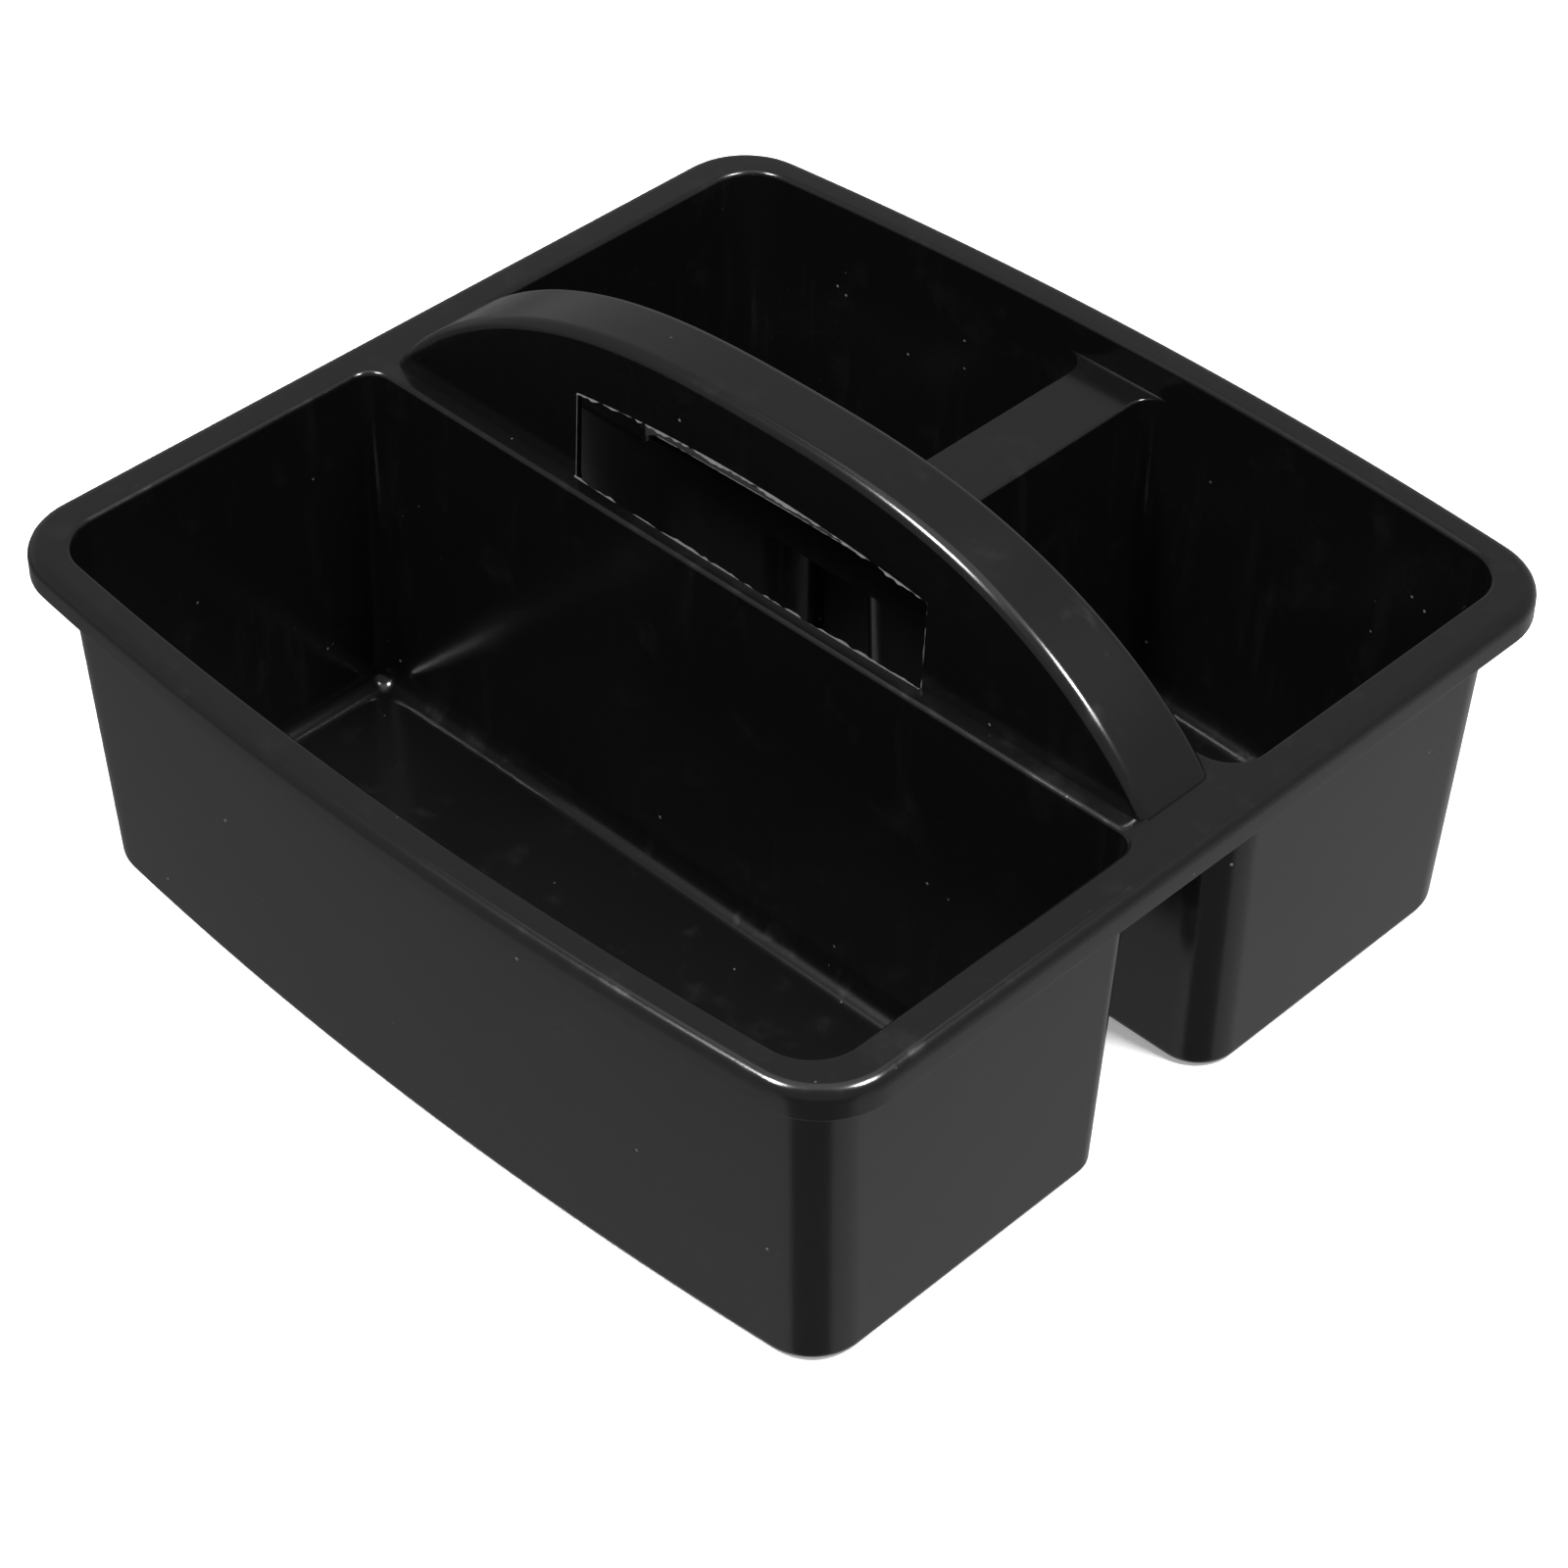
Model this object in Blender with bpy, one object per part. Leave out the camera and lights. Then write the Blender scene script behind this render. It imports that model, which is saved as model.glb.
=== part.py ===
"""Cleaning caddy: three bins, a rolled rim and a hollow arched handle in black polypropylene.

Units are metres.  X runs along the handle, the large front bin lies at -Y, and +Z is up.
The origin is on the surface that the caddy stands on, under the middle of the rim.
"""
import bmesh
import bpy
from math import atan2, cos, pi, sin, sqrt

MM = 0.001

# Overall size
LENGTH = 330 * MM            # over the rim, along X
DEPTH = 318 * MM             # over the rim, along Y, at the middle of the bowed sides
RIM_TOP = 116.8 * MM         # height of the flat top of the rim
ARCH_RISE = 55.2 * MM        # handle crest above the rim
ARCH_SPAN = 296 * MM         # handle foot to handle foot

# Moulding
WALL = 2 * MM
GAP = 0.3 * MM               # clearance between neighbouring solids
SQUARE_CORNER = 1 * MM       # smallest corner radius, for corners that look square
BOW_RADIUS = 1400 * MM       # front and rear sides bow outwards on this radius

# Rim
RIM_CORNER = 25 * MM         # outermost corners of the skirt, in plan
ROLL_RADIUS = 4 * MM         # rolled outer edge
SKIRT_DROP = 9.7 * MM        # rim top to the skirt's lower edge
OPENING_CORNER = 15.5 * MM   # outer corners of the openings

# Bins: inner faces, at the rim top and at the base
SIDE_TOP, SIDE_BASE = 151.6 * MM, 148 * MM
FRONT_TOP, FRONT_BASE = 148.2 * MM, 142.6 * MM
REAR_TOP, REAR_BASE = 148.2 * MM, 139.5 * MM
DECK_FRONT_TOP, DECK_FRONT_BASE = 20 * MM, 25.5 * MM
DECK_REAR_TOP, DECK_REAR_BASE = 19.4 * MM, 21.5 * MM
DIVIDER_TOP, DIVIDER_BASE = 12.2 * MM, 15 * MM
FRONT_BIN_BACK_CORNER = 7 * MM
REAR_BIN_CORNER = 11.5 * MM   # corners at the deck
DIVIDER_REAR_CORNER = 8 * MM  # corners between the divider and the rear wall
BASE_EDGE_RADIUS = 3 * MM
FLOOR_FILLET = 7 * MM

# Rear divider bridge
BRIDGE_DROP = 11.3 * MM      # its flat top below the rim top
BRIDGE_FILLET = 2.5 * MM     # concave fillet up to the walls at its two ends
BRIDGE_FRONT_HALF = DIVIDER_TOP + REAR_BIN_CORNER      # half width at the deck
BRIDGE_REAR_HALF = DIVIDER_TOP + DIVIDER_REAR_CORNER   # half width at the rear wall
BRIDGE_REAR = 147.2 * MM     # upright face of its rear end, just inside the rear wall

# Handle
HANDLE_HALF_WIDTH = 14 * MM  # half thickness along Y at the deck
HANDLE_LEAN = 0.05           # each side wall leans in by this much per unit of height
HANDLE_EDGE_RADIUS = 3.2 * MM
ARCH_POWER = 2.7             # crest height follows (1 - u ** ARCH_POWER) ** ARCH_SHOULDER
ARCH_SHOULDER = 0.85
SLOT_HALF_WIDTH = 68.5 * MM
SLOT_END_HEIGHT = 28.5 * MM  # slot top above the deck at its two ends
SLOT_MID_HEIGHT = 33.4 * MM

# Facets
CORNER_STEPS = 6
BOW_STEPS = 12
EDGE_STEPS = 3
ARCH_STEPS = 40


def clear_scene():
    for obj in list(bpy.data.objects):
        bpy.data.objects.remove(obj, do_unlink=True)


def arc_points(cx, cy, radius, start, end, steps):
    """Points on an arc, both ends included."""
    angles = [start + (end - start) * i / steps for i in range(steps + 1)]
    return [(cx + radius * cos(a), cy + radius * sin(a)) for a in angles]


def corner_on_bow(cx_corner, radius, bow_middle, bow_radius, outward):
    """Centre height and tangent angle of a corner that runs into a bowed side.

    outward is -1 for the front side and +1 for the rear side.
    """
    bow_centre = bow_middle - outward * bow_radius
    rise = sqrt((bow_radius - radius) ** 2 - cx_corner ** 2)
    return bow_centre + outward * rise, atan2(outward * rise, cx_corner), bow_centre


def outline(x0, x1, y0, y1, radii, bow_front=0.0, bow_rear=0.0):
    """Closed plan outline, counter-clockwise from the front-left corner.

    radii are the front-left, front-right, rear-right and rear-left corners.  A side with a
    bow radius is an arc centred on X = 0, and y0 or y1 is then its middle.
    """
    front_left, front_right, rear_right, rear_left = radii
    points = []
    if bow_front:
        left_y, left_angle, centre = corner_on_bow(x0 + front_left, front_left, y0, bow_front, -1)
        right_y, right_angle, _ = corner_on_bow(x1 - front_right, front_right, y0, bow_front, -1)
        points += arc_points(x0 + front_left, left_y, front_left, -pi, left_angle, CORNER_STEPS)
        bow = arc_points(0, centre, bow_front, left_angle, right_angle, BOW_STEPS)
        points += bow[1:-1]
        points += arc_points(x1 - front_right, right_y, front_right, right_angle, 0, CORNER_STEPS)
    else:
        points += arc_points(x0 + front_left, y0 + front_left, front_left, -pi, -pi / 2, CORNER_STEPS)
        points += arc_points(x1 - front_right, y0 + front_right, front_right, -pi / 2, 0, CORNER_STEPS)
    if bow_rear:
        right_y, right_angle, centre = corner_on_bow(x1 - rear_right, rear_right, y1, bow_rear, 1)
        left_y, left_angle, _ = corner_on_bow(x0 + rear_left, rear_left, y1, bow_rear, 1)
        points += arc_points(x1 - rear_right, right_y, rear_right, 0, right_angle, CORNER_STEPS)
        bow = arc_points(0, centre, bow_rear, right_angle, left_angle, BOW_STEPS)
        points += bow[1:-1]
        points += arc_points(x0 + rear_left, left_y, rear_left, left_angle, pi, CORNER_STEPS)
    else:
        points += arc_points(x1 - rear_right, y1 - rear_right, rear_right, 0, pi / 2, CORNER_STEPS)
        points += arc_points(x0 + rear_left, y1 - rear_left, rear_left, pi / 2, pi, CORNER_STEPS)
    return points


def at_height(points, z):
    return [(x, y, z) for x, y in points]


def make_object(name, bm, height, parent):
    """Finish a bmesh as an object whose local Z = 0 lies at the given height."""
    bmesh.ops.recalc_face_normals(bm, faces=bm.faces)
    mesh = bpy.data.meshes.new(name)
    bm.to_mesh(mesh)
    bm.free()
    mesh.shade_smooth()
    mesh.set_sharp_from_angle(angle=pi / 6)
    obj = bpy.data.objects.new(name, mesh)
    bpy.context.collection.objects.link(obj)
    obj.location.z = height
    obj.parent = parent
    obj.data.materials.append(black_plastic(name))
    return obj


def black_plastic(name):
    material = bpy.data.materials.new(name + "_plastic")
    material.use_nodes = True
    shader = material.node_tree.nodes["Principled BSDF"]
    shader.inputs["Base Color"].default_value = (0.012, 0.012, 0.013, 1)
    shader.inputs["Roughness"].default_value = 0.32
    shader.inputs["Metallic"].default_value = 0.0
    return material


def loft(loops, ring=False):
    """Solid through a list of loops with equal point counts; a ring also joins last to first."""
    bm = bmesh.new()
    rows = [[bm.verts.new(point) for point in loop] for loop in loops]
    pairs = list(zip(rows, rows[1:]))
    if ring:
        pairs.append((rows[-1], rows[0]))
    for lower, upper in pairs:
        count = len(lower)
        for i in range(count):
            j = (i + 1) % count
            bm.faces.new((lower[i], lower[j], upper[j], upper[i]))
    if not ring:
        bm.faces.new(reversed(rows[0]))
        bm.faces.new(rows[-1])
    return bm


def prism(points, z0, z1):
    return loft([at_height(points, z0), at_height(points, z1)])


def cutter(name, bm, parent):
    obj = make_object(name, bm, 0, parent)
    obj.hide_render = True
    obj.display_type = "WIRE"
    return obj


def boolean(obj, tool, operation):
    modifier = obj.modifiers.new(tool.name, "BOOLEAN")
    modifier.object = tool
    modifier.operation = operation


def tub_loops(section, top):
    """Loops of an open tub with drafted walls, from the underside round to the inner floor.

    section(height, offset) gives the plan outline of the inner faces at a height above the
    base, grown outwards by offset.
    """
    quarter = [pi / 2 * i / EDGE_STEPS for i in range(EDGE_STEPS + 1)]
    loops = []
    for a in quarter:
        z = BASE_EDGE_RADIUS * (1 - cos(a))
        inset = BASE_EDGE_RADIUS * (1 - sin(a))
        loops.append(at_height(section(z, WALL - inset), z))
    loops.append(at_height(section(top, WALL), top))
    loops.append(at_height(section(top, 0), top))
    for a in reversed(quarter):
        z = WALL + FLOOR_FILLET * (1 - cos(a))
        inset = FLOOR_FILLET * (1 - sin(a))
        loops.append(at_height(section(z, -inset), z))
    return loops


def blend(base, top, height):
    return base + (top - base) * height / RIM_TOP


def front_bin_section(height, offset):
    side = blend(SIDE_BASE, SIDE_TOP, height) + offset
    front = blend(FRONT_BASE, FRONT_TOP, height) + offset
    back = blend(DECK_FRONT_BASE, DECK_FRONT_TOP, height) - offset
    outer = OPENING_CORNER + offset
    inner = max(FRONT_BIN_BACK_CORNER + offset, SQUARE_CORNER)
    radii = (outer, outer, inner, inner)
    return outline(-side, side, -front, -back, radii, bow_front=BOW_RADIUS + offset)


def rear_bin_section(side_sign):
    """Section function of one rear bin; side_sign is -1 for the left bin, +1 for the right."""
    def section(height, offset):
        side = blend(SIDE_BASE, SIDE_TOP, height) + offset
        divider = blend(DIVIDER_BASE, DIVIDER_TOP, height) - offset
        front = blend(DECK_REAR_BASE, DECK_REAR_TOP, height) - offset
        rear = blend(REAR_BASE, REAR_TOP, height) + offset
        outer = OPENING_CORNER + offset
        deck = REAR_BIN_CORNER + offset
        middle = max(DIVIDER_REAR_CORNER + offset, SQUARE_CORNER)
        bow = BOW_RADIUS + offset
        if side_sign < 0:
            return outline(-side, -divider, front, rear, (deck, deck, middle, outer), bow_rear=bow)
        return outline(divider, side, front, rear, (deck, deck, outer, middle), bow_rear=bow)
    return section


def build_front_bin(parent):
    top = RIM_TOP - WALL - GAP
    return make_object("front_bin", loft(tub_loops(front_bin_section, top)), 0, parent)


def build_rear_bin(name, side_sign, parent):
    top = RIM_TOP - WALL - GAP
    obj = make_object(name, loft(tub_loops(rear_bin_section(side_sign), top)), 0, parent)
    # The wall next to the bridge is lower, so that the bridge lies over it.
    front_reach = side_sign * (BRIDGE_FRONT_HALF + GAP)
    rear_reach = side_sign * (BRIDGE_REAR_HALF + GAP)
    low = RIM_TOP - BRIDGE_DROP - WALL - GAP
    notch = [(0, 0), (front_reach, 0), (front_reach, BRIDGE_REAR / 2)]
    notch += [(rear_reach, BRIDGE_REAR / 2), (rear_reach, DEPTH), (0, DEPTH)]
    boolean(obj, cutter(name + "_notch", prism(notch, low, RIM_TOP), parent), "DIFFERENCE")
    return obj


def rim_loops():
    """Loops round the rim's cross-section, local Z = 0 at its flat top."""
    inner_x = SIDE_TOP
    inner_y = FRONT_TOP
    flat_x = LENGTH / 2 - ROLL_RADIUS
    flat_y = DEPTH / 2 - ROLL_RADIUS
    flat_corner = RIM_CORNER - ROLL_RADIUS

    def ring_at(half_x, half_y, corner, bow, z):
        points = outline(-half_x, half_x, -half_y, half_y, (corner,) * 4, bow, bow)
        return at_height(points, z)

    def outer(u, z):
        return ring_at(flat_x + u, flat_y + u, flat_corner + u, BOW_RADIUS + u, z)

    quarter = [pi / 2 * i / EDGE_STEPS for i in range(EDGE_STEPS + 1)]
    thin = ROLL_RADIUS - WALL
    loops = [ring_at(inner_x, inner_y, OPENING_CORNER, BOW_RADIUS, 0)]
    loops += [outer(ROLL_RADIUS * sin(a), ROLL_RADIUS * (cos(a) - 1)) for a in quarter]
    loops.append(outer(ROLL_RADIUS, -SKIRT_DROP))
    loops.append(outer(thin, -SKIRT_DROP))
    loops += [outer(thin * sin(a), thin * cos(a) - ROLL_RADIUS) for a in reversed(quarter)]
    loops.append(ring_at(inner_x, inner_y, OPENING_CORNER, BOW_RADIUS, -WALL))
    return loops


def build_rim(parent):
    return make_object("rim", loft(rim_loops(), ring=True), RIM_TOP, parent)


def build_centre_deck(parent):
    """Two ledges between the bins, joined under the handle's feet, open below the handle."""
    front, rear = DECK_FRONT_TOP, DECK_REAR_TOP
    small, large = FRONT_BIN_BACK_CORNER, REAR_BIN_CORNER
    small_clip = atan2(sqrt(small ** 2 - (small - GAP) ** 2), small - GAP)
    large_clip = atan2(sqrt(large ** 2 - (large - GAP) ** 2), large - GAP)
    points = arc_points(-SIDE_TOP + small, -front - small, small, pi - small_clip, pi / 2, CORNER_STEPS)
    points += arc_points(SIDE_TOP - small, -front - small, small, pi / 2, small_clip, CORNER_STEPS)
    points += arc_points(SIDE_TOP - large, rear + large, large, -large_clip, -pi / 2, CORNER_STEPS)
    points += arc_points(-SIDE_TOP + large, rear + large, large, -pi / 2, -pi + large_clip, CORNER_STEPS)
    deck = make_object("centre_deck", prism(points, -WALL, 0), RIM_TOP, parent)
    half_x = ARCH_SPAN / 2 - WALL
    half_y = HANDLE_HALF_WIDTH - WALL
    hole = outline(-half_x, half_x, -half_y, half_y, (SQUARE_CORNER,) * 4)
    tool = cutter("deck_hole", prism(hole, RIM_TOP - 2 * WALL, RIM_TOP + WALL), parent)
    boolean(deck, tool, "DIFFERENCE")
    return deck


def bridge_profile(fillet, top, wall_front, wall_rear, lip):
    """Half of a trough profile in Y and Z: down one end wall, along, and up the other."""
    points = [(wall_front, lip)]
    points += arc_points(wall_front + fillet, top + fillet, fillet, pi, 3 * pi / 2, EDGE_STEPS * 2)
    points += arc_points(wall_rear - fillet, top + fillet, fillet, -pi / 2, 0, EDGE_STEPS * 2)
    points.append((wall_rear, lip))
    return points


def build_bridge(parent):
    """Lowered strip between the rear bins, with a fillet up to the wall at each end."""
    lip = -WALL - GAP
    top = -BRIDGE_DROP
    front = DECK_REAR_TOP
    rear = BRIDGE_REAR
    upper = bridge_profile(BRIDGE_FILLET, top, front, rear, lip)
    lower = bridge_profile(BRIDGE_FILLET + WALL, top - WALL, front - WALL, rear + WALL, lip)
    section = upper + lower[::-1]
    half = BRIDGE_FRONT_HALF
    loops = [[(x, y, z) for y, z in section] for x in (-half, half)]
    obj = make_object("rear_divider_bridge", loft(loops), RIM_TOP, parent)
    # In plan the strip flares at both ends, round the corners of the two rear bins.
    edge = DIVIDER_TOP
    deck = REAR_BIN_CORNER
    middle = DIVIDER_REAR_CORNER
    far = 2 * WALL
    plan = [(half, front - far)]
    plan += arc_points(edge + deck, front + deck, deck, -pi / 2, -pi, CORNER_STEPS)
    plan += arc_points(edge + middle, rear - middle, middle, pi, pi / 2, CORNER_STEPS)
    plan.append((BRIDGE_REAR_HALF, rear + far))
    plan += [(-x, y) for x, y in reversed(plan)]
    tool = cutter("bridge_plan", prism(plan, RIM_TOP - 2 * BRIDGE_DROP, RIM_TOP), parent)
    boolean(obj, tool, "INTERSECT")
    return obj


def arch_points(half_span, rise, base):
    """Arch outline in X and Z from the left foot over to the right foot, then the base line."""
    points = []
    for i in range(ARCH_STEPS + 1):
        x = -half_span * cos(pi * i / ARCH_STEPS)
        u = abs(x) / half_span
        z = rise * max(1 - u ** ARCH_POWER, 0) ** ARCH_SHOULDER
        points.append((x, max(z, base)))
    points[0] = (-half_span, base)
    points[-1] = (half_span, base)
    return points


def arch_loops(inset, base):
    """Loops of the handle's solid arch from its front face over the edges to its rear face."""
    quarter = [pi / 2 * i / EDGE_STEPS for i in range(EDGE_STEPS + 1)]
    radius = max(HANDLE_EDGE_RADIUS - inset, SQUARE_CORNER)
    steps = [(radius * (1 - sin(a)), radius * (1 - cos(a)), -1) for a in quarter]
    steps += [(radius * (1 - sin(a)), radius * (1 - cos(a)), 1) for a in reversed(quarter)]
    loops = []
    for shrink, tuck, side in steps:
        half_span = ARCH_SPAN / 2 - inset - shrink
        rise = ARCH_RISE - inset - shrink
        loop = []
        for x, z in arch_points(half_span, rise, base):
            y = HANDLE_HALF_WIDTH - inset - HANDLE_LEAN * max(z, 0) - tuck
            loop.append((x, side * y, z))
        loops.append(loop)
    return loops


def slot_outline():
    """Finger slot in X and Z: flat sill, upright ends and a gently arched top."""
    sagitta = SLOT_MID_HEIGHT - SLOT_END_HEIGHT
    radius = (SLOT_HALF_WIDTH ** 2 + sagitta ** 2) / (2 * sagitta)
    reach = atan2(SLOT_HALF_WIDTH, radius - sagitta)
    centre = SLOT_MID_HEIGHT - radius
    points = arc_points(0, centre, radius, pi / 2 - reach, pi / 2 + reach, BOW_STEPS)
    return points + [(-SLOT_HALF_WIDTH, -2 * WALL), (SLOT_HALF_WIDTH, -2 * WALL)]


def build_handle(parent):
    """Hollow arch, open underneath, with the finger slot through both side walls."""
    height = RIM_TOP + GAP
    handle = make_object("handle", loft(arch_loops(0, 0)), height, parent)
    hollow = cutter("handle_hollow", loft(arch_loops(WALL, -2 * WALL)), parent)
    hollow.location.z = height
    boolean(handle, hollow, "DIFFERENCE")
    loops = [[(x, y, z) for x, z in slot_outline()] for y in (-DEPTH / 4, DEPTH / 4)]
    slot = cutter("handle_slot", loft(loops), parent)
    slot.location.z = height
    boolean(handle, slot, "DIFFERENCE")
    return handle


def main():
    clear_scene()
    caddy = bpy.data.objects.new("caddy", None)
    bpy.context.collection.objects.link(caddy)
    build_front_bin(caddy)
    build_rear_bin("rear_left_bin", -1, caddy)
    build_rear_bin("rear_right_bin", 1, caddy)
    build_rim(caddy)
    build_centre_deck(caddy)
    build_bridge(caddy)
    build_handle(caddy)


main()
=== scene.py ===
"""Looks of the cleaning caddy: one black polypropylene moulding, its camera, floor and lights.

Units are metres.  X runs along the handle, the large front bin lies at -Y, and +Z is up.
A height called "level" is measured from the flat top of the rim.  A length called "grow" moves a
wall outwards from a bin, and "inset" moves it inwards from the rim.
"""

from math import atan2, cos, pi, radians, sin, sqrt

import bmesh
import bpy
from mathutils import Matrix, Vector, noise


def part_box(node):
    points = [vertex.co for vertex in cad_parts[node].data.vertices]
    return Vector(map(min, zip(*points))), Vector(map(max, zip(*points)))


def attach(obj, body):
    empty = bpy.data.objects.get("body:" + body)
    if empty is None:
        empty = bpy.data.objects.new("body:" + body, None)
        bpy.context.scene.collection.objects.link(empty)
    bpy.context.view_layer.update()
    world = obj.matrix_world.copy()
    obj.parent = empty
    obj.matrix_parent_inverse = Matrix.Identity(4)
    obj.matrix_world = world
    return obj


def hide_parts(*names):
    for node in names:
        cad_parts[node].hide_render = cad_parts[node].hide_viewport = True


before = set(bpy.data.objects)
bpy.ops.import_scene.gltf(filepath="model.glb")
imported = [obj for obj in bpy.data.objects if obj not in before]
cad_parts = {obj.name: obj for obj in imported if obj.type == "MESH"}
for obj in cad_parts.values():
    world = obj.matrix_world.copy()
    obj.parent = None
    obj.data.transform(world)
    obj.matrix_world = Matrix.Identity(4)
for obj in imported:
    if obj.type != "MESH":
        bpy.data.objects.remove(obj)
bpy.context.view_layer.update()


MM = 0.001
RIM_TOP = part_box("rim")[1].z

# Moulding
WALL = 2 * MM
BOW_RADIUS = 1400 * MM

# Rim
HALF_LENGTH = 165 * MM
HALF_DEPTH = 159 * MM
RIM_CORNER = 25 * MM
ROLL_RADIUS = 4 * MM
SKIRT_DROP = 9.7 * MM
OPENING_EDGE = 1.6 * MM
OPENING_CORNER = 15.5 * MM

# Inner faces of the bins, at the rim top and at the base
SIDE = (151.6 * MM, 148 * MM)
FRONT = (148.2 * MM, 142.6 * MM)
REAR = (148.2 * MM, 139.5 * MM)
DECK_FRONT = (20 * MM, 25.5 * MM)
DECK_REAR = (19.4 * MM, 21.5 * MM)
DIVIDER = (12.2 * MM, 15 * MM)
FRONT_BIN_BACK_CORNER = 7 * MM
REAR_BIN_DECK_CORNER = 11.5 * MM
REAR_BIN_DIVIDER_CORNER = 8 * MM
FLOOR_FILLET = 7 * MM
BASE_EDGE = 3 * MM

# Strip between the rear bins
STRIP_DROP = 11.3 * MM
STRIP_EDGE = 1 * MM
STRIP_END_FILLET = 2.2 * MM
STRIP_END_REACH = 19 * MM
STRIP_END_STEPS = 24
STRIP_REACH = 40 * MM

# Handle
ARCH_RISE = 55.2 * MM
ARCH_HALF_SPAN = 148 * MM
ARCH_POWER = 2.7
ARCH_SHOULDER = 0.85
HANDLE_HALF_WIDTH = 14 * MM
HANDLE_LEAN = 0.05
HANDLE_EDGE = 3.4 * MM
HANDLE_FOOT = -1.8 * MM
HOLLOW_CLEARANCE = 0.05 * MM

# Finger slot
SLOT_HALF_WIDTH = 68.5 * MM
SLOT_END = 28.5 * MM
SLOT_MIDDLE = 33.4 * MM

# Hole in the deck under the slot: half depth at its ends and how much its sides bow out
SLOT_SILL_FRONT = (14.8 * MM, 0.7 * MM)
SLOT_SILL_REAR = (15.8 * MM, 1.2 * MM)
SLOT_SILL_CORNER = 3 * MM
SLOT_SILL_MARGIN = 0.2 * MM

# Flash left by the mould
FLASH_HALF_THICKNESS = 0.12 * MM
FLASH_ROOT = 0.25 * MM
FLASH_STEP = 0.8 * MM
FINE_TEARS = 420
BROAD_TEARS = 90

# Finish of the pieces; the smoothing limits are in degrees
MERGE_DISTANCE = 0.01 * MM
SMOOTH_BODY = 35
SMOOTH_HANDLE = 40
SMOOTH_FLASH = 50
NORMAL_WEIGHT = 80
PLASTIC_IOR = 1.5

# Camera, in degrees and metres
CAMERA_AZIMUTH = 44.49
CAMERA_ELEVATION = 39.29
CAMERA_ROLL = 0.28
CAMERA_DISTANCE = 1217.3 * MM
CAMERA_TARGET_DROP = 40.5 * MM

# Studio: each softbox has a name, azimuth and elevation in degrees, size and power
FLOOR_SIZE = 8
FLOOR_DROP = 0.05 * MM
OPEN_SIDE = (0.7, -0.714)
SOFTBOX_DISTANCE = 1.6
SOFTBOXES = [
    ("left_softbox", -107, 57, 0.34, 38),
    ("right_softbox", 16, 57, 0.34, 38),
    ("top_softbox", 135, 88, 1.4, 6),
]

# Fineness of the curves
CORNER_STEPS = 14
BOW_STEPS = 44
EDGE_STEPS = 6
LIP_STEPS = 3
STRIP_EDGE_STEPS = 4
FLOOR_STEPS = 8
SILL_STEPS = 16
SLOT_STEPS = 24
ARCH_STEPS = 120


# ---------------------------------------------------------------- plan outlines

def arc(cx, cy, radius, start, end, steps):
    angles = [start + (end - start) * i / steps for i in range(steps + 1)]
    return [(cx + radius * cos(a), cy + radius * sin(a)) for a in angles]


def corner_on_bow(cx, radius, middle, bow, outward):
    """Where a corner of the given radius, centred at cx, runs into a bowed side."""
    centre = middle - outward * bow
    rise = sqrt((bow - radius) ** 2 - cx ** 2)
    return centre + outward * rise, atan2(outward * rise, cx), centre


def outline(x0, x1, y0, y1, radii, bow_front=0, bow_rear=0):
    """Corner arcs and sides of a plan outline, counter-clockwise from the front left.

    The four radii are front left, front right, rear right and rear left.  The result is a
    list of six runs: two corners, front bow between them, two corners, rear bow between them.
    """
    fl, fr, rr, rl = radii
    if bow_front:
        left_y, left_a, centre = corner_on_bow(x0 + fl, fl, y0, bow_front, -1)
        right_y, right_a, _ = corner_on_bow(x1 - fr, fr, y0, bow_front, -1)
        front_left = arc(x0 + fl, left_y, fl, -pi, left_a, CORNER_STEPS)
        front = arc(0, centre, bow_front, left_a, right_a, BOW_STEPS)[1:-1]
        front_right = arc(x1 - fr, right_y, fr, right_a, 0, CORNER_STEPS)
    else:
        front_left = arc(x0 + fl, y0 + fl, fl, -pi, -pi / 2, CORNER_STEPS)
        front = []
        front_right = arc(x1 - fr, y0 + fr, fr, -pi / 2, 0, CORNER_STEPS)
    if bow_rear:
        right_y, right_a, centre = corner_on_bow(x1 - rr, rr, y1, bow_rear, 1)
        left_y, left_a, _ = corner_on_bow(x0 + rl, rl, y1, bow_rear, 1)
        rear_right = arc(x1 - rr, right_y, rr, 0, right_a, CORNER_STEPS)
        rear = arc(0, centre, bow_rear, right_a, left_a, BOW_STEPS)[1:-1]
        rear_left = arc(x0 + rl, left_y, rl, left_a, pi, CORNER_STEPS)
    else:
        rear_right = arc(x1 - rr, y1 - rr, rr, 0, pi / 2, CORNER_STEPS)
        rear = []
        rear_left = arc(x0 + rl, y1 - rl, rl, pi / 2, pi, CORNER_STEPS)
    return [front_left, front, front_right, rear_right, rear, rear_left]


def at_level(points, level):
    return [(x, y, RIM_TOP + level) for x, y in points]


def drafted(face, level):
    """Distance of a drafted face from the middle plane, at a level below the rim top."""
    top, base = face
    return top + (top - base) * level / RIM_TOP


def front_bin_ring(level, grow):
    side = drafted(SIDE, level) + grow
    front = drafted(FRONT, level) + grow
    back = drafted(DECK_FRONT, level) - grow
    outer = OPENING_CORNER + grow
    inner = FRONT_BIN_BACK_CORNER + grow
    runs = outline(-side, side, -front, -back, (outer, outer, inner, inner), BOW_RADIUS + grow)
    return at_level(sum(runs, []), level)


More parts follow.
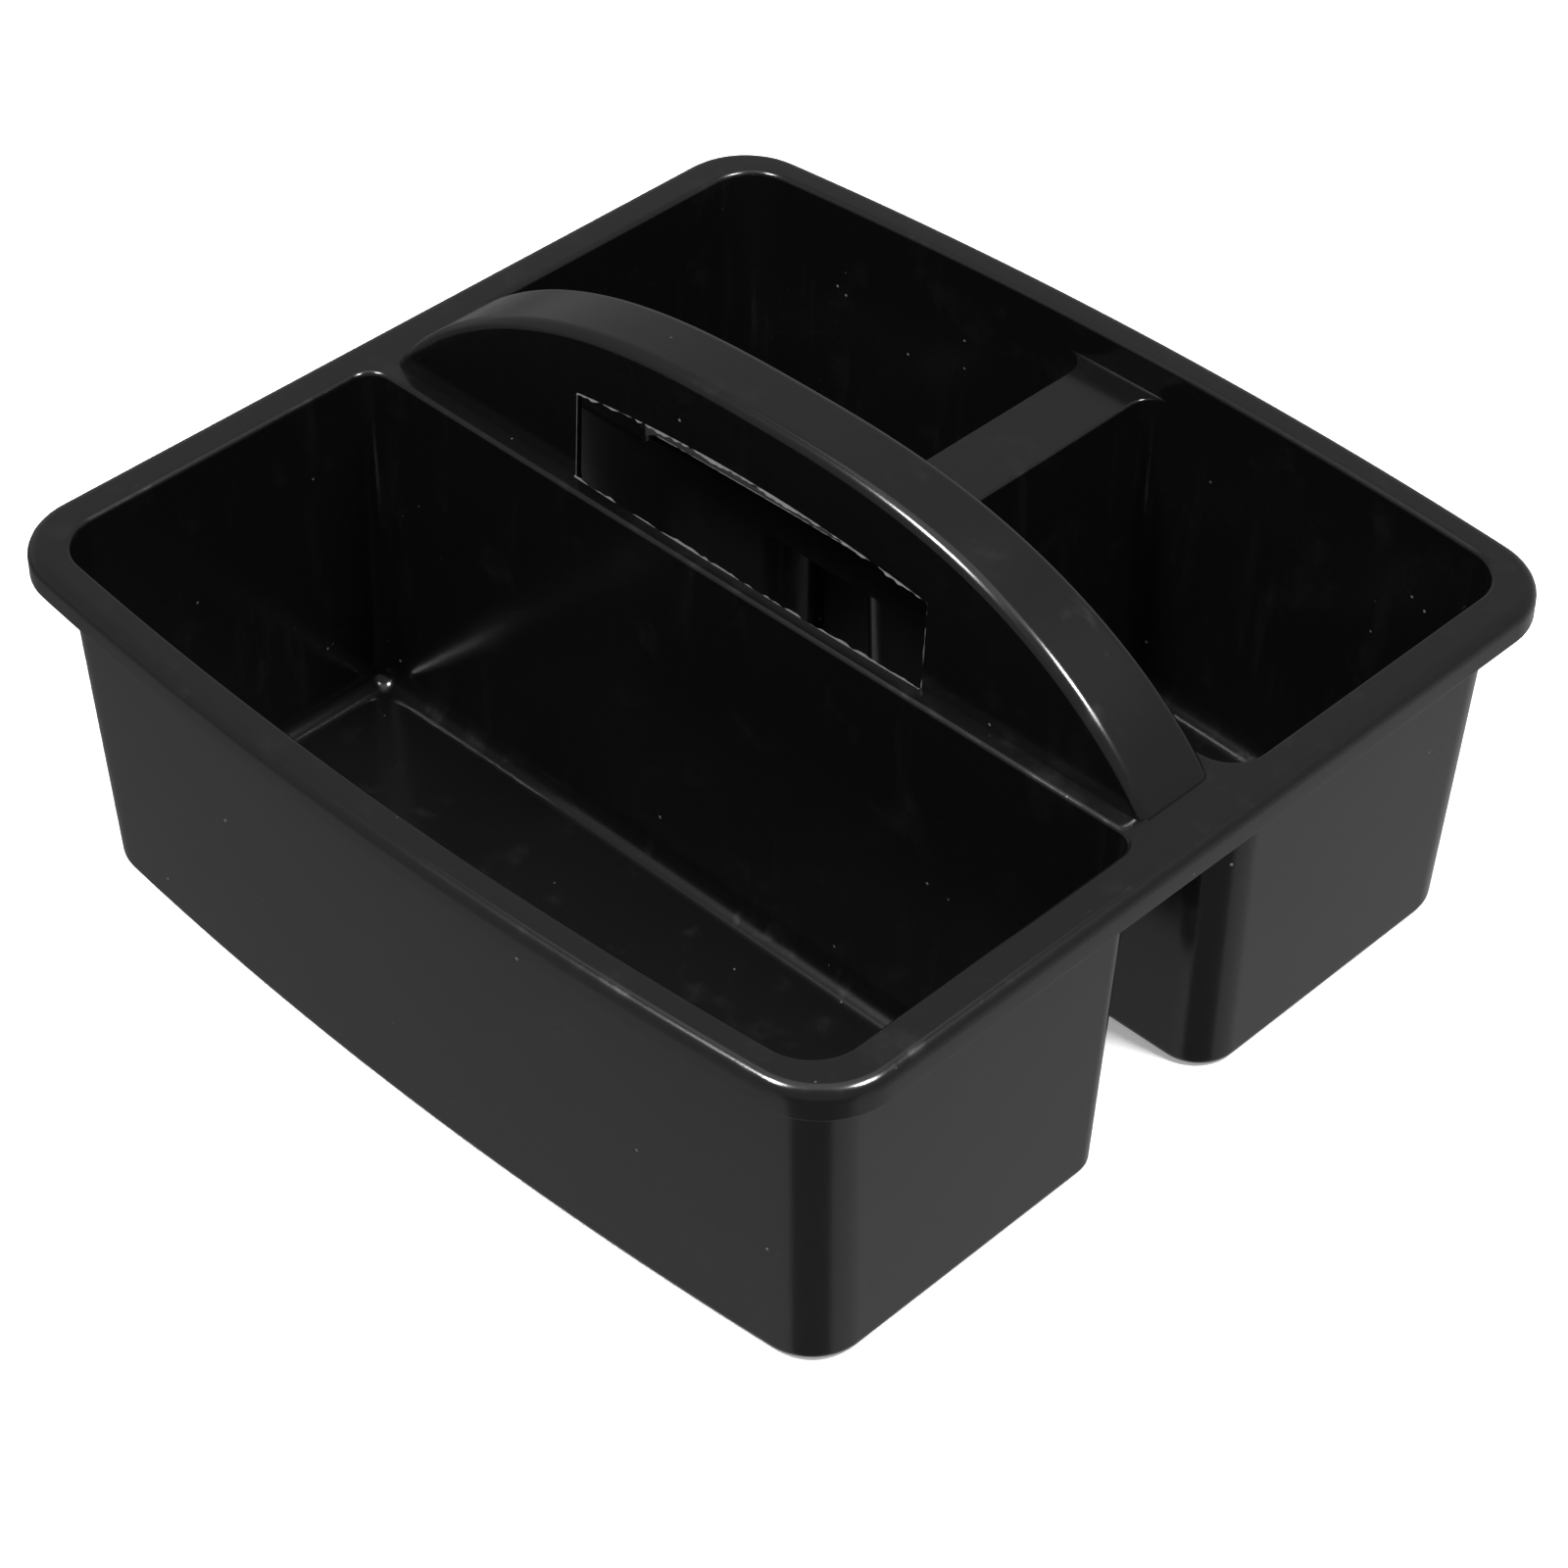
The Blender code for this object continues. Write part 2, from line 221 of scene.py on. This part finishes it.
def rear_bin_runs(level, grow, divider_grow):
    """Runs of the rear left bin's outline; the divider's side may grow by its own amount."""
    side = drafted(SIDE, level) + grow
    divider = drafted(DIVIDER, level) - divider_grow
    front = drafted(DECK_REAR, level) - grow
    rear = drafted(REAR, level) + grow
    radii = (REAR_BIN_DECK_CORNER + grow, REAR_BIN_DECK_CORNER + divider_grow,
             REAR_BIN_DIVIDER_CORNER + divider_grow, OPENING_CORNER + grow)
    return outline(-side, -divider, front, rear, radii, bow_rear=BOW_RADIUS + grow)


def rear_left_ring(level, grow, divider_grow):
    return at_level(sum(rear_bin_runs(level, grow, divider_grow), []), level)


def rear_opening_ring(level, grow, divider_grow):
    """Outline of both rear bins and the strip between them, with the divider left out."""
    runs = rear_bin_runs(level, grow, divider_grow)
    left = [runs[3][-1]] + runs[4] + runs[5] + runs[0] + runs[1] + [runs[2][0]]
    right = [(-x, y) for x, y in reversed(left)]
    return at_level(left + right, level)


# ---------------------------------------------------------------- edit mode

def deselect_objects():
    bpy.ops.object.select_all(action="DESELECT")


def make_active(obj):
    deselect_objects()
    obj.select_set(True)
    bpy.context.view_layer.objects.active = obj


def place_selected(obj, ring):
    """Move each selected vertex to the point of the outline that carries its number."""
    mesh = bmesh.from_edit_mesh(obj.data)
    number = mesh.verts.layers.int["number"]
    for vertex in mesh.verts:
        if vertex.select:
            vertex.co = ring[vertex[number]]
    bmesh.update_edit_mesh(obj.data)


def wall(name, rings, close_last=False):
    """A circle of edges, set on the first outline and extruded through all the others."""
    deselect_objects()
    bpy.ops.mesh.primitive_circle_add(vertices=len(rings[0]), radius=HALF_LENGTH)
    obj = bpy.context.object
    obj.name = name
    bpy.ops.object.mode_set(mode="EDIT")
    mesh = bmesh.from_edit_mesh(obj.data)
    number = mesh.verts.layers.int.new("number")
    for i, vertex in enumerate(mesh.verts):
        vertex[number] = i
    bmesh.update_edit_mesh(obj.data)
    place_selected(obj, rings[0])
    for ring in rings[1:]:
        bpy.ops.mesh.extrude_region()
        place_selected(obj, ring)
    if close_last:
        bpy.ops.mesh.edge_face_add()
    bpy.ops.object.mode_set(mode="OBJECT")
    return obj


def join(name, objs):
    make_active(objs[0])
    for obj in objs:
        obj.select_set(True)
    bpy.ops.object.join()
    obj = bpy.context.object
    obj.name = obj.data.name = name
    bpy.ops.object.mode_set(mode="EDIT")
    bpy.ops.mesh.select_all(action="SELECT")
    bpy.ops.mesh.remove_doubles(threshold=MERGE_DISTANCE)
    bpy.ops.object.mode_set(mode="OBJECT")
    return obj


def select_edges(obj, wanted):
    """In edit mode, select only the edges for which wanted(edge) holds."""
    bpy.ops.mesh.select_mode(type="EDGE")
    bpy.ops.mesh.select_all(action="DESELECT")
    mesh = bmesh.from_edit_mesh(obj.data)
    for edge in mesh.edges:
        if wanted(edge):
            edge.select = True
    mesh.select_flush_mode()
    bmesh.update_edit_mesh(obj.data)


def fill_level(obj, level, reach=None):
    """Fill the open edges that lie at a level, leaving the holes that they surround open."""
    def open_at_level(edge):
        ends = [v.co for v in edge.verts]
        flat = all(abs(v.z - RIM_TOP - level) < MERGE_DISTANCE for v in ends)
        near = reach is None or all(abs(v.x) < reach for v in ends)
        return flat and near and len(edge.link_faces) < 2
    bpy.ops.object.mode_set(mode="EDIT")
    select_edges(obj, open_at_level)
    bpy.ops.mesh.fill(use_beauty=True)
    bpy.ops.object.mode_set(mode="OBJECT")


def face_outwards(obj):
    make_active(obj)
    bpy.ops.object.mode_set(mode="EDIT")
    bpy.ops.mesh.select_all(action="SELECT")
    bpy.ops.mesh.normals_make_consistent(inside=False)
    bpy.ops.object.mode_set(mode="OBJECT")


def finish_piece(obj, nodes, angle):
    """Smooth the faces, carry the piece on the one body and let it stand for its nodes."""
    make_active(obj)
    bpy.ops.object.shade_smooth_by_angle(angle=radians(angle))
    weighted = obj.modifiers.new("weighted_normals", "WEIGHTED_NORMAL")
    weighted.keep_sharp = True
    weighted.weight = NORMAL_WEIGHT
    bpy.ops.object.modifier_apply(modifier=weighted.name)
    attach(obj, "root")
    if nodes:
        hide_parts(*nodes)


# ---------------------------------------------------------------- body of the moulding

def quarter(steps=EDGE_STEPS):
    return [pi / 2 * i / steps for i in range(steps + 1)]


def rim_ring(inset, level):
    """Outline of the rim, drawn in from its outermost face by inset."""
    x = HALF_LENGTH - inset
    y = HALF_DEPTH - inset
    bow = BOW_RADIUS - inset
    return at_level(sum(outline(-x, x, -y, y, (RIM_CORNER - inset,) * 4, bow, bow), []), level)


def rim_rings():
    """From the flat top over the roll, down the skirt, round its lower edge and up inside."""
    rings = [rim_ring(ROLL_RADIUS * (1 - sin(a)), ROLL_RADIUS * (cos(a) - 1)) for a in quarter()]
    lip = WALL / 4
    rings += [rim_ring(lip * (1 - cos(a)), lip * (1 - sin(a)) - SKIRT_DROP)
              for a in quarter(LIP_STEPS)]
    rings.append(rim_ring(WALL, -SKIRT_DROP))
    inner = ROLL_RADIUS - WALL
    rings += [rim_ring(WALL + inner * (1 - sin(a)), inner * cos(a) - ROLL_RADIUS)
              for a in reversed(quarter())]
    return rings


def opening_edge(ring):
    """Rounded edge between the flat top and a wall, for ring(level, grow)."""
    return [ring(OPENING_EDGE * (cos(a) - 1), OPENING_EDGE * (1 - sin(a))) for a in quarter()]


def floor_rings(ring):
    """Concave fillet from a wall to the floor."""
    floor = WALL - RIM_TOP
    return [ring(floor + FLOOR_FILLET * (1 - sin(a)), -FLOOR_FILLET * (1 - cos(a)))
            for a in quarter(FLOOR_STEPS)]


def base_rings(ring):
    """Rounded edge from an outer wall to the underside."""
    return [ring(-RIM_TOP + BASE_EDGE * (1 - sin(a)), WALL - BASE_EDGE * (1 - cos(a)))
            for a in quarter()]


def mirrored(name, obj):
    """A copy of a piece on the other side of the middle plane."""
    make_active(obj)
    bpy.ops.object.duplicate()
    copy = bpy.context.object
    copy.name = name
    bpy.ops.object.mode_set(mode="EDIT")
    bpy.ops.mesh.select_all(action="SELECT")
    bpy.ops.transform.resize(value=(-1, 1, 1), center_override=(0, 0, 0))
    bpy.ops.mesh.flip_normals()
    bpy.ops.object.mode_set(mode="OBJECT")
    return copy


def sill_line(sill, reach):
    """One side of the deck's hole under the finger slot, from left to right, as half depths."""
    end, bow = sill
    xs = [reach * (2 * i / SILL_STEPS - 1) for i in range(SILL_STEPS + 1)]
    return [(x, end + bow * (1 - (x / SLOT_HALF_WIDTH) ** 2)) for x in xs]


def deck_hole_rings():
    """The handle's hollow seen in the deck; under the slot it reaches past the handle's faces."""
    x = ARCH_HALF_SPAN - WALL
    y = HANDLE_HALF_WIDTH - WALL
    slot = SLOT_HALF_WIDTH - SLOT_SILL_MARGIN
    corner = SLOT_SILL_CORNER
    front = [(px, -py) for px, py in sill_line(SLOT_SILL_FRONT, slot)]
    rear = list(reversed(sill_line(SLOT_SILL_REAR, slot - corner)))
    right = arc(slot - corner, rear[0][1] - corner, corner, 0, pi / 2, EDGE_STEPS)[:-1]
    left = [(-px, py) for px, py in reversed(right)]
    line = [(-x, -y), (-slot, -y)] + front + [(slot, -y), (x, -y), (x, y), (slot, y)]
    line += right + rear + left + [(-slot, y), (-x, y)]
    return [at_level(line, 0), at_level(line, -WALL)]


def strip_end_rings():
    """Concave fillet between the strip and the foot of the rear wall, running out at its ends."""
    inside = 0.2 * WALL
    rings = []
    for i in range(STRIP_END_STEPS + 1):
        x = STRIP_END_REACH * (2 * i / STRIP_END_STEPS - 1)
        wall_y = REAR[0] - BOW_RADIUS + sqrt(BOW_RADIUS ** 2 - x ** 2)
        radius = STRIP_END_FILLET * sqrt(max(1 - (x / STRIP_END_REACH) ** 4, 0.001))
        ring = [(x, wall_y - radius * (1 - sin(a)), radius * (1 - cos(a)) - STRIP_DROP)
                for a in quarter()]
        ring += [(x, wall_y + inside, radius - STRIP_DROP), (x, wall_y + inside, -STRIP_DROP - inside),
                 (x, wall_y - radius, -STRIP_DROP - inside)]
        rings.append([(px, py, RIM_TOP + level) for px, py, level in ring])
    return rings


def build_moulding():
    """Rim, bins, deck and strip as one closed body."""
    def rear_wall(level, grow):
        return rear_opening_ring(level, grow, grow)

    def rear_bin(level, grow):
        return rear_left_ring(level, grow, grow)

    strip_edge = [rear_left_ring(STRIP_EDGE * (cos(a) - 1) - STRIP_DROP, 0, STRIP_EDGE * (1 - sin(a)))
                  for a in quarter(STRIP_EDGE_STEPS)]
    under_strip = -STRIP_DROP - WALL
    parts = [
        wall("rim", rim_rings()),
        wall("front_bin_inside", opening_edge(front_bin_ring) + floor_rings(front_bin_ring), True),
        wall("front_bin_outside", [front_bin_ring(-WALL, WALL)] + base_rings(front_bin_ring), True),
        wall("rear_walls_inside", opening_edge(rear_wall)
             + [rear_opening_ring(-STRIP_DROP, 0, STRIP_EDGE)]),
        wall("rear_walls_outside", [rear_wall(-WALL, WALL), rear_wall(under_strip, WALL)]),
        wall("deck_hole", deck_hole_rings()),
    ]
    left = [
        wall("rear_left_inside", strip_edge + floor_rings(rear_bin), True),
        wall("rear_left_outside", [rear_bin(under_strip, WALL)] + base_rings(rear_bin), True),
    ]
    parts += left + [mirrored(obj.name.replace("left", "right"), obj) for obj in left]
    body = join("caddy_body", parts)
    fill_level(body, 0)
    fill_level(body, -WALL)
    fill_level(body, -STRIP_DROP, STRIP_REACH)
    fill_level(body, under_strip, STRIP_REACH)
    body = join("caddy_body", [body, solid("strip_end", strip_end_rings())])
    face_outwards(body)
    finish_piece(body, ["front_bin", "rear_left_bin", "rear_right_bin", "rim",
                        "centre_deck", "rear_divider_bridge"], SMOOTH_BODY)
    return body


# ---------------------------------------------------------------- handle

def arch_line(half_span, rise):
    """The arch from end to end in X and level."""
    points = []
    for i in range(ARCH_STEPS + 1):
        x = -half_span * cos(pi * i / ARCH_STEPS)
        u = abs(x) / half_span
        points.append((x, rise * max(1 - u ** ARCH_POWER, 0) ** ARCH_SHOULDER))
    return points


def arch_rings(inset, edge, base):
    """Rings of a solid arch, from its front face over the rounded edges to its rear face."""
    around = [(edge * (1 - sin(a)), edge * (1 - cos(a)), -1) for a in quarter()]
    around += [(shrink, tuck, 1) for shrink, tuck, _ in reversed(around)]
    rings = []
    for shrink, tuck, side in around:
        line = arch_line(ARCH_HALF_SPAN - inset - shrink, ARCH_RISE - inset - shrink)
        line = [(line[0][0], base)] + line + [(line[-1][0], base)]
        ring = []
        for x, level in line:
            y = HANDLE_HALF_WIDTH - inset - tuck - HANDLE_LEAN * max(level, 0)
            ring.append((x, side * y, RIM_TOP + level))
        rings.append(ring)
    return rings


def solid(name, rings):
    """A wall closed at both ends."""
    obj = wall(name, rings, True)
    bpy.ops.object.mode_set(mode="EDIT")
    select_edges(obj, lambda edge: len(edge.link_faces) < 2)
    bpy.ops.mesh.edge_face_add()
    bpy.ops.object.mode_set(mode="OBJECT")
    face_outwards(obj)
    return obj


def slot_line():
    """Finger slot in X and level: upright ends and a gently arched top."""
    sagitta = SLOT_MIDDLE - SLOT_END
    radius = (SLOT_HALF_WIDTH ** 2 + sagitta ** 2) / (2 * sagitta)
    reach = atan2(SLOT_HALF_WIDTH, radius - sagitta)
    return arc(0, SLOT_MIDDLE - radius, radius, pi / 2 - reach, pi / 2 + reach, SLOT_STEPS)


def cut_away(obj, tool):
    make_active(obj)
    cut = obj.modifiers.new("cut", "BOOLEAN")
    cut.operation = "DIFFERENCE"
    cut.object = tool
    bpy.ops.object.modifier_apply(modifier=cut.name)
    bpy.data.objects.remove(tool)


def build_handle():
    """The arch, hollowed from below, with the finger slot cut through both faces."""
    below = 2 * HANDLE_FOOT
    past = HALF_DEPTH / 4
    obj = solid("handle_arch", arch_rings(0, HANDLE_EDGE, HANDLE_FOOT))
    hollow = arch_rings(WALL - HOLLOW_CLEARANCE, HANDLE_EDGE - WALL, below)
    cut_away(obj, solid("hollow", hollow))
    line = [(-SLOT_HALF_WIDTH, below), (SLOT_HALF_WIDTH, below)] + slot_line()
    slot = [[(x, y, RIM_TOP + level) for x, level in line] for y in (-past, past)]
    cut_away(obj, solid("slot", slot))
    face_outwards(obj)
    finish_piece(obj, ["handle"], SMOOTH_HANDLE)
    return obj


# ---------------------------------------------------------------- flash

def resampled(points, step):
    """Points along a line at even steps."""
    line = [Vector(points[0])]
    for start, end in zip(points, points[1:]):
        start, end = Vector(start), Vector(end)
        count = max(1, round((end - start).length / step))
        line += [start.lerp(end, (i + 1) / count) for i in range(count)]
    return line


def flash(name, points, outward, least, most):
    """A thin torn edge of plastic left along a line, sticking out by an uneven amount."""
    outward = Vector(outward).normalized()
    line = resampled(points, FLASH_STEP)
    rings = []
    for i, point in enumerate(line):
        along = line[min(i + 1, len(line) - 1)] - line[max(i - 1, 0)]
        across = along.cross(outward).normalized() * FLASH_HALF_THICKNESS
        torn = 0.35 + noise.noise(point * FINE_TEARS) * 0.9 + noise.noise(point * BROAD_TEARS) * 0.9
        width = least + (most - least) * min(max(torn, 0), 1)
        root = point - outward * FLASH_ROOT
        rings.append([root - across, root + across, point + outward * width])
    return solid(name, rings)


def build_flash():
    """Torn edges round the front of the finger slot, on both sills and under the skirt."""
    def on_front(x, level):
        return (x, HANDLE_LEAN * level - HANDLE_HALF_WIDTH, RIM_TOP + level)

    top = [on_front(x, level) for x, level in slot_line()]
    end = SLOT_HALF_WIDTH
    front_sill = [(x, -y, RIM_TOP) for x, y in sill_line(SLOT_SILL_FRONT, end)]
    rear_sill = [(x, y, RIM_TOP) for x, y in sill_line(SLOT_SILL_REAR, end - SLOT_SILL_CORNER)]
    skirt = [Vector(point) - Vector((0, 0, SKIRT_DROP)) for point in rim_ring(WALL / 3, 0)]
    parts = [
        flash("slot_top_flash", top, (0, -0.7, -0.7), 0, 0.9 * MM),
        flash("slot_left_flash", [on_front(-end, 0), on_front(-end, SLOT_END)], (0.8, -0.6, 0),
              0.1 * MM, 1 * MM),
        flash("slot_right_flash", [on_front(end, 0), on_front(end, SLOT_END)], (-0.8, -0.6, 0),
              0, 0.4 * MM),
        flash("front_sill_flash", front_sill, (0, 0.4, 0.9), 0, 0.7 * MM),
        flash("rear_sill_flash", rear_sill, (0, -0.8, 0.6), 0, 0.8 * MM),
        flash("skirt_flash", skirt, (0, 0, -1), 0, 0.35 * MM),
    ]
    obj = join("moulding_flash", parts)
    finish_piece(obj, [], SMOOTH_FLASH)
    return obj


# ---------------------------------------------------------------- materials

class Socket:
    """A shader value; arithmetic on it adds Math nodes."""

    def __init__(self, tree, output):
        self.tree = tree
        self.output = output

    def math(self, operation, *others):
        node = self.tree.nodes.new("ShaderNodeMath")
        node.operation = operation
        for slot_in, value in zip(node.inputs, (self,) + others):
            put(self.tree, slot_in, value)
        return Socket(self.tree, node.outputs[0])

    def __add__(self, other):
        return self.math("ADD", other)

    __radd__ = __add__

    def __mul__(self, other):
        return self.math("MULTIPLY", other)

    __rmul__ = __mul__

    def __sub__(self, other):
        return self.math("SUBTRACT", other)

    def __rsub__(self, other):
        return (self * -1) + other

    def __truediv__(self, other):
        return self.math("DIVIDE", other)

    def power(self, other):
        return self.math("POWER", other)

    def clamped(self):
        return self.math("MINIMUM", 1).math("MAXIMUM", 0)


def put(tree, slot_in, value):
    """Give a socket a value or a link."""
    if isinstance(value, Socket):
        tree.links.new(value.output, slot_in)
    else:
        slot_in.default_value = value


def node(tree, kind, settings=(), output=0, **inputs):
    """One node: its type, its settings and the values or links of its sockets."""
    made = tree.nodes.new("ShaderNode" + kind)
    for name, value in dict(settings).items():
        setattr(made, name, value)
    for name, value in inputs.items():
        slot_in = next(s for s in made.inputs if s.enabled and s.name == name.replace("_", " "))
        put(tree, slot_in, value)
    return Socket(tree, made.outputs[output])


def between(value, low, high):
    """0 below low, 1 above high, straight in between."""
    return ((value - low) * (1 / (high - low))).clamped()


def plastic(name, colour, roughness, dusty):
    """Moulded black polypropylene: faint waves, scuffs and flow marks, and a few specks of dust."""
    material = bpy.data.materials.new(name)
    material.use_nodes = True
    tree = material.node_tree
    shader = tree.nodes["Principled BSDF"]
    place = node(tree, "TexCoord", output=3)
    upright = node(tree, "Mapping", Vector=place, Scale=(1, 1, 0.14))

    cloud = node(tree, "TexNoise", Vector=place, Scale=18, Detail=3, Roughness=0.55)
    fine = node(tree, "TexNoise", Vector=place, Scale=900, Detail=2, Roughness=0.6)
    scuffs = node(tree, "TexNoise", Vector=place, Scale=46, Detail=4, Roughness=0.62)
    marks = node(tree, "TexNoise", Vector=upright, Scale=95, Detail=3, Roughness=0.6)
    scuffed = between(scuffs, 0.58, 0.72)
    marked = between(marks, 0.6, 0.75)
    put(tree, shader.inputs["Roughness"],
        roughness + cloud * 0.08 + fine * 0.03 + scuffed * 0.1 + marked * 0.08)

    specks = node(tree, "TexVoronoi", Vector=place, Scale=170)
    few = between(node(tree, "TexNoise", Vector=place, Scale=60, Detail=2), 0.63, 0.66)
    speck = between(specks, 0.1, 0.05) * few * dusty
    film = scuffed * 0.01 + marked * 0.01
    put(tree, shader.inputs["Base Color"],
        node(tree, "Mix", {"data_type": "RGBA"}, 2, Factor=(speck + film).clamped(),
             A=(*colour, 1), B=(0.12, 0.12, 0.12, 1)))

    waves = node(tree, "TexNoise", Vector=place, Scale=32, Detail=1)
    height = waves + fine * 0.02 + speck * 0.6
    put(tree, shader.inputs["Normal"],
        node(tree, "Bump", Strength=1, Distance=0.1 * MM, Height=height))
    shader.inputs["IOR"].default_value = PLASTIC_IOR
    return material


# ---------------------------------------------------------------- stage

def aim(obj, place, target):
    """Put a light at a place, facing a target."""
    obj.location = place
    obj.rotation_mode = "QUATERNION"
    obj.rotation_quaternion = (Vector(target) - Vector(place)).to_track_quat("-Z", "Y")


def add_camera():
    azimuth, elevation, roll = map(radians, (CAMERA_AZIMUTH, CAMERA_ELEVATION, CAMERA_ROLL))
    forward = Vector((-sin(azimuth) * cos(elevation), cos(azimuth) * cos(elevation), -sin(elevation)))
    right = forward.cross(Vector((0, 0, 1))).normalized()
    up = right.cross(forward)
    turned_right = right * cos(roll) + up * sin(roll)
    turned_up = up * cos(roll) - right * sin(roll)
    data = bpy.data.cameras.new("camera")
    camera = bpy.data.objects.new("camera", data)
    bpy.context.collection.objects.link(camera)
    place = Matrix((turned_right, turned_up, -forward)).transposed().to_4x4()
    place.translation = Vector((0, 0, RIM_TOP - CAMERA_TARGET_DROP)) - forward * CAMERA_DISTANCE
    camera.matrix_world = place
    data.sensor_width = 36
    data.lens = 96.73
    data.shift_x = 0.004
    data.shift_y = -0.0743
    data.clip_start = 0.05
    data.clip_end = 20
    bpy.context.scene.camera = camera


def add_floor():
    deselect_objects()
    bpy.ops.mesh.primitive_plane_add(size=FLOOR_SIZE, location=(0, 0, -FLOOR_DROP))
    floor = bpy.context.object
    floor.name = "floor"
    material = bpy.data.materials.new("pale_floor")
    material.use_nodes = True
    shader = material.node_tree.nodes["Principled BSDF"]
    shader.inputs["Base Color"].default_value = (0.9, 0.9, 0.9, 1)
    shader.inputs["Roughness"].default_value = 0.9
    shader.inputs["Specular IOR Level"].default_value = 0.0
    shader.inputs["Emission Color"].default_value = (1, 1, 1, 1)
    shader.inputs["Emission Strength"].default_value = 0.3
    floor.data.materials.append(material)
    floor.visible_glossy = False


def add_softbox(name, place, target, size, power):
    data = bpy.data.lights.new(name, "AREA")
    data.shape = "SQUARE"
    data.size = size
    data.energy = power
    light = bpy.data.objects.new(name, data)
    bpy.context.collection.objects.link(light)
    aim(light, place, target)


def studio_world():
    """Bright all round below the horizon and dimmer above, darker where the front is left open."""
    world = bpy.data.worlds.new("studio")
    world.use_nodes = True
    tree = world.node_tree
    direction = node(tree, "TexCoord")
    x, y, z = (node(tree, "SeparateXYZ", output=i, Vector=direction) for i in range(3))
    across = (x * x + y * y).power(0.5) + 0.0001
    facing = (x * OPEN_SIDE[0] + y * OPEN_SIDE[1]) / across
    opening = between(facing, 0.74, 0.86)
    below = between(z * -1, -0.02, 0.12)
    left = between(x * -1, 0.1, 0.9)
    ground = 0.46 - left * 0.32 - opening * 0.3
    sky = 0.33
    background = tree.nodes["Background"]
    background.inputs["Color"].default_value = (1, 1, 1, 1)
    put(tree, background.inputs["Strength"], sky + below * (ground - sky))
    bpy.context.scene.world = world


def add_light():
    studio_world()
    centre = Vector((0, 0, RIM_TOP))
    for name, azimuth, elevation, size, power in SOFTBOXES:
        azimuth, elevation = radians(azimuth), radians(elevation)
        out = Vector((cos(azimuth) * cos(elevation), sin(azimuth) * cos(elevation), sin(elevation)))
        add_softbox(name, centre + out * SOFTBOX_DISTANCE, centre, size, power)


add_camera()
add_floor()
add_light()
smooth = [build_moulding(), build_handle()]
torn = [build_flash()]
# The flash is real torn plastic, but its pale grey colour is a painted highlight that makes its torn
# edges show as bright lines.
for objs, material in [(smooth, plastic("black_plastic", (0.0024, 0.0024, 0.0025), 0.12, 1)),
                       (torn, plastic("torn_plastic", (0.1, 0.1, 0.1), 0.25, 0))]:
    for obj in objs:
        obj.data.materials.clear()
        obj.data.materials.append(material)

bpy.context.scene.view_settings.view_transform = "Standard"
